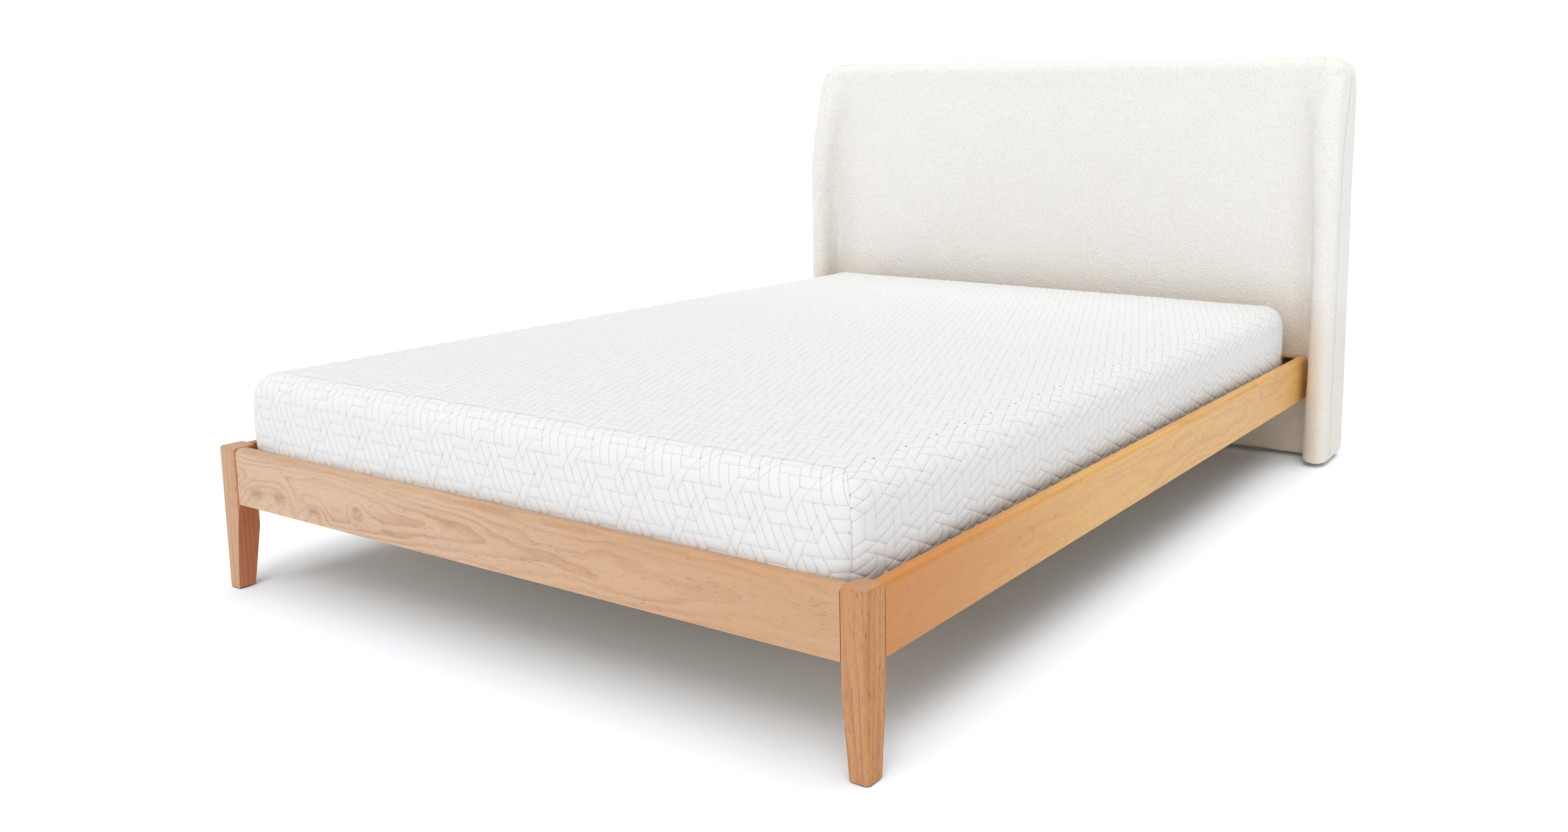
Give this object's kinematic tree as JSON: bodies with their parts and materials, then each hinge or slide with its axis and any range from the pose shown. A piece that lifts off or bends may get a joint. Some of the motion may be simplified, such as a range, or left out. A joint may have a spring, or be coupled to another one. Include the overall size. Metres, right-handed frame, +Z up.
{
  "type": "upholstered headboard bed",
  "caption": "Low platform bed: winged headboard padded in cream boucle, clear-finished hardwood rails on tapered foot legs, slatted deck and a quilted foam mattress.",
  "frame": {"origin": "on the floor, under the centre of the whole bed", "axes": "+X to the right seen from the foot, +Y from the foot to the head, +Z up"},
  "size_m": [1.76, 2.234, 1.127],
  "materials": {
    "boucle": "matte",
    "lining": "matte",
    "foam": "matte",
    "ticking": "matte",
    "leg_wood": "satin",
    "rail_wood": "satin",
    "slat_wood": "matte",
    "frame_timber": "matte",
    "plywood": "matte",
    "black_plastic": "matte",
    "zinc_steel": "satin",
    "black_steel": "satin"
  },
  "bodies": {
    "bed_frame": {"beam_hangers": "black_steel", "bracket_screws": "zinc_steel", "centre_beam": "slat_wood", "centre_leg_bolts": "zinc_steel", "centre_leg_front": "slat_wood", "centre_leg_rear": "slat_wood", "foot_leg_left": "leg_wood", "foot_leg_right": "leg_wood", "foot_rail": "rail_wood", "head_corner_brackets": "black_steel", "head_rail": "rail_wood", "head_rail_bolts": "zinc_steel", "headboard_back_board": "plywood", "headboard_back_cover": "lining", "headboard_bottom_rail": "frame_timber", "headboard_fixing_rail": "frame_timber", "headboard_foam": "foam", "headboard_front_board": "plywood", "headboard_front_cover": "boucle", "headboard_glides": "black_plastic", "headboard_insert_nuts": "zinc_steel", "headboard_post_left": "frame_timber", "headboard_post_right": "frame_timber", "headboard_side_cover_left": "boucle", "headboard_side_cover_right": "boucle", "headboard_top_rail": "frame_timber", "ledger_left": "slat_wood", "ledger_right": "slat_wood", "ledger_screws": "zinc_steel", "leg_glides": "black_plastic", "leg_slot_plates": "black_steel", "levelling_nuts": "zinc_steel", "rail_hook_plates": "black_steel", "side_rail_left": "rail_wood", "side_rail_right": "rail_wood", "slat_01": "slat_wood", "slat_02": "slat_wood", "slat_03": "slat_wood", "slat_04": "slat_wood", "slat_05": "slat_wood", "slat_06": "slat_wood", "slat_07": "slat_wood", "slat_08": "slat_wood", "slat_09": "slat_wood", "slat_10": "slat_wood", "slat_11": "slat_wood", "slat_12": "slat_wood", "slat_13": "slat_wood", "slat_screws": "zinc_steel", "wing_core_left": "plywood", "wing_core_right": "plywood", "wing_foam_left": "foam", "wing_foam_right": "foam"},
    "mattress": {"mattress_cover": "ticking", "mattress_comfort_foam": "foam", "mattress_base_foam": "foam"},
    "levelling_foot_front": {"levelling_pad_front": "black_plastic"},
    "levelling_foot_rear": {"levelling_pad_rear": "black_plastic"},
    "levelling_stud_front": {"levelling_screw_front": "zinc_steel"},
    "levelling_stud_rear": {"levelling_screw_rear": "zinc_steel"}
  },
  "joints": [
    {"name": "mattress_lift", "type": "slide", "parent": "bed_frame", "child": "mattress", "axis": [0, 0, 1], "range_m": [0, 0.3]},
    {"name": "levelling_travel_front", "type": "slide", "parent": "bed_frame", "child": "levelling_foot_front", "axis": [0, 0, 1], "range_m": [0, 0.01001]},
    {"name": "levelling_turn_front", "type": "hinge", "parent": "levelling_foot_front", "child": "levelling_stud_front", "pos_m": [0, -0.37, 0.03], "axis": [0, 0, 1], "range_deg": [0, 2880]},
    {"name": "levelling_travel_rear", "type": "slide", "parent": "bed_frame", "child": "levelling_foot_rear", "axis": [0, 0, 1], "range_m": [0, 0.01001]},
    {"name": "levelling_turn_rear", "type": "hinge", "parent": "levelling_foot_rear", "child": "levelling_stud_rear", "pos_m": [0, 0.37, 0.03], "axis": [0, 0, 1], "range_deg": [0, 2880]}
  ],
  "couplings": [
    {"joint": "levelling_travel_front", "follows": "levelling_turn_front", "m_per_rad": 0.00019894},
    {"joint": "levelling_travel_rear", "follows": "levelling_turn_rear", "m_per_rad": 0.00019894}
  ]
}
